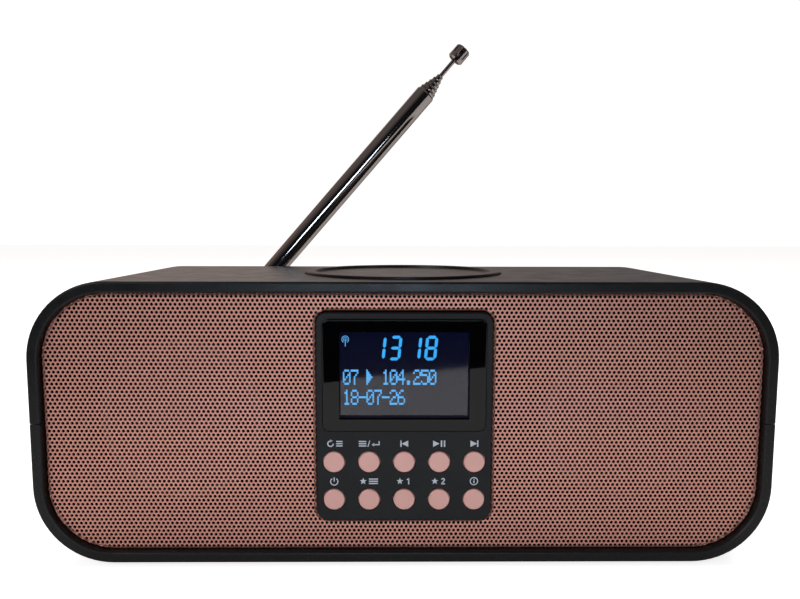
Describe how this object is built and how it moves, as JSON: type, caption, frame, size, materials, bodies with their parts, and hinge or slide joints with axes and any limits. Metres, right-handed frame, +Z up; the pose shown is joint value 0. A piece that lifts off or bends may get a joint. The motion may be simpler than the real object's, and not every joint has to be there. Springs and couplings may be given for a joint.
{
  "type": "tabletop radio",
  "caption": "Tabletop radio with rounded case, perforated metal front, central display and button panel, large top dial and telescopic rear aerial.",
  "frame": {"origin": "middle of the overall footprint, aerial included, on the surface that the feet stand on", "axes": "+Z up, front face towards -Y, +X to the right as seen from the front"},
  "size_m": [0.26, 0.1036, 0.2044],
  "materials": {
    "case_plastic": "fine-grained satin black moulding",
    "inner_plastic": "plain black moulding",
    "copper_sheet": "satin rose-copper lacquer on perforated steel",
    "panel_plastic": "fine satin black",
    "window_plastic": "smoked, clear and polished",
    "display_glass": "dark display glass with blue figures",
    "white_plastic": "white",
    "rose_plastic": "satin rose",
    "circuit_board": "green solder mask",
    "tinned_steel": "tinned",
    "can_aluminium": "plain",
    "screw_steel": "zinc plated",
    "foot_rubber": "matt black",
    "black_steel": "black lacquer",
    "magnet_ferrite": "ferrite and plated steel",
    "surround_rubber": "matt",
    "cone_paper": "pressed paper",
    "nut_brass": "plain",
    "socket_plastic": "black",
    "chrome": "bright plated brass"
  },
  "bodies": {
    "case": {"aerial_contact_lug": "nut_brass", "board_screws": "screw_steel", "case_screws": "screw_steel", "control_board": "circuit_board", "control_panel": "panel_plastic", "display_ribbon": "white_plastic", "display_window": "window_plastic", "encoder_body": "tinned_steel", "encoder_nut": "nut_brass", "filter_capacitors": "can_aluminium", "foot_front_left": "foot_rubber", "foot_front_right": "foot_rubber", "foot_rear_left": "foot_rubber", "foot_rear_right": "foot_rubber", "front_baffle": "inner_plastic", "headphone_socket": "socket_plastic", "lcd_backlight": "white_plastic", "lcd_glass": "display_glass", "left_speaker_basket": "black_steel", "left_speaker_magnet": "magnet_ferrite", "left_speaker_surround": "surround_rubber", "line_in_socket": "socket_plastic", "lower_shell": "case_plastic", "main_board": "circuit_board", "power_socket": "socket_plastic", "push_switches": "inner_plastic", "rear_panel": "case_plastic", "rear_panel_screws": "screw_steel", "right_speaker_basket": "black_steel", "right_speaker_magnet": "magnet_ferrite", "right_speaker_surround": "surround_rubber", "speaker_grille": "copper_sheet", "speaker_screws": "screw_steel", "tuner_module": "tinned_steel", "upper_shell": "case_plastic"},
    "mode_button": {"button_mode": "rose_plastic"},
    "menu_button": {"button_menu": "rose_plastic"},
    "previous_button": {"button_previous": "rose_plastic"},
    "play_button": {"button_play": "rose_plastic"},
    "next_button": {"button_next": "rose_plastic"},
    "power_button": {"button_power": "rose_plastic"},
    "preset_list_button": {"button_preset_list": "rose_plastic"},
    "preset_1_button": {"button_preset_1": "rose_plastic"},
    "preset_2_button": {"button_preset_2": "rose_plastic"},
    "info_button": {"button_info": "rose_plastic"},
    "left_cone": {"left_speaker_cone": "cone_paper"},
    "right_cone": {"right_speaker_cone": "cone_paper"},
    "dial": {"volume_dial": "case_plastic", "encoder_shaft": "can_aluminium"},
    "swivel": {"aerial_swivel": "chrome", "aerial_clip": "screw_steel", "aerial_hinge_pin": "chrome"},
    "aerial_arm": {"aerial_base_tube": "chrome"},
    "aerial_tube_2": {"aerial_section_2": "chrome"},
    "aerial_tube_3": {"aerial_section_3": "chrome"},
    "aerial_tube_4": {"aerial_section_4": "chrome"},
    "aerial_tube_5": {"aerial_section_5": "chrome"},
    "aerial_tube_6": {"aerial_section_6": "chrome"},
    "aerial_top": {"aerial_rod": "chrome", "aerial_tip": "chrome"}
  },
  "joints": [
    {"name": "mode_press", "type": "slide", "parent": "case", "child": "mode_button", "axis": [0, 1, 0], "range_m": [0, 0.0005], "stiffness_N_per_m": 3000},
    {"name": "menu_press", "type": "slide", "parent": "case", "child": "menu_button", "axis": [0, 1, 0], "range_m": [0, 0.0005], "stiffness_N_per_m": 3000},
    {"name": "previous_press", "type": "slide", "parent": "case", "child": "previous_button", "axis": [0, 1, 0], "range_m": [0, 0.0005], "stiffness_N_per_m": 3000},
    {"name": "play_press", "type": "slide", "parent": "case", "child": "play_button", "axis": [0, 1, 0], "range_m": [0, 0.0005], "stiffness_N_per_m": 3000},
    {"name": "next_press", "type": "slide", "parent": "case", "child": "next_button", "axis": [0, 1, 0], "range_m": [0, 0.0005], "stiffness_N_per_m": 3000},
    {"name": "power_press", "type": "slide", "parent": "case", "child": "power_button", "axis": [0, 1, 0], "range_m": [0, 0.0005], "stiffness_N_per_m": 3000},
    {"name": "preset_list_press", "type": "slide", "parent": "case", "child": "preset_list_button", "axis": [0, 1, 0], "range_m": [0, 0.0005], "stiffness_N_per_m": 3000},
    {"name": "preset_1_press", "type": "slide", "parent": "case", "child": "preset_1_button", "axis": [0, 1, 0], "range_m": [0, 0.0005], "stiffness_N_per_m": 3000},
    {"name": "preset_2_press", "type": "slide", "parent": "case", "child": "preset_2_button", "axis": [0, 1, 0], "range_m": [0, 0.0005], "stiffness_N_per_m": 3000},
    {"name": "info_press", "type": "slide", "parent": "case", "child": "info_button", "axis": [0, 1, 0], "range_m": [0, 0.0005], "stiffness_N_per_m": 3000},
    {"name": "left_cone_travel", "type": "slide", "parent": "case", "child": "left_cone", "axis": [0, -1, 0], "range_m": [-0.001, 0.001], "stiffness_N_per_m": 1500},
    {"name": "right_cone_travel", "type": "slide", "parent": "case", "child": "right_cone", "axis": [0, -1, 0], "range_m": [-0.001, 0.001], "stiffness_N_per_m": 1500},
    {"name": "dial_turn", "type": "hinge", "parent": "case", "child": "dial", "pos_m": [0, -0.0033, 0.1015], "axis": [0, 0, 1], "continuous": true},
    {"name": "aerial_swivel", "type": "hinge", "parent": "case", "child": "swivel", "pos_m": [-0.076, 0.0472, 0.0824], "axis": [0, 1, 0], "range_deg": [-131, 48.8]},
    {"name": "aerial_tilt", "type": "hinge", "parent": "swivel", "child": "aerial_arm", "pos_m": [-0.076, 0.0472, 0.0824], "axis": [-0.7531, 0, 0.6579], "range_deg": [0, 90]},
    {"name": "section_2_slide", "type": "slide", "parent": "aerial_arm", "child": "aerial_tube_2", "axis": [0.6579, 0, 0.7531], "range_m": [0, 0.105]},
    {"name": "section_3_slide", "type": "slide", "parent": "aerial_tube_2", "child": "aerial_tube_3", "axis": [0.6579, 0, 0.7531], "range_m": [0, 0.105]},
    {"name": "section_4_slide", "type": "slide", "parent": "aerial_tube_3", "child": "aerial_tube_4", "axis": [0.6579, 0, 0.7531], "range_m": [0, 0.105]},
    {"name": "section_5_slide", "type": "slide", "parent": "aerial_tube_4", "child": "aerial_tube_5", "axis": [0.6579, 0, 0.7531], "range_m": [0, 0.105]},
    {"name": "section_6_slide", "type": "slide", "parent": "aerial_tube_5", "child": "aerial_tube_6", "axis": [0.6579, 0, 0.7531], "range_m": [0, 0.105]},
    {"name": "rod_slide", "type": "slide", "parent": "aerial_tube_6", "child": "aerial_top", "axis": [0.6579, 0, 0.7531], "range_m": [-0.009, 0.105]}
  ]
}
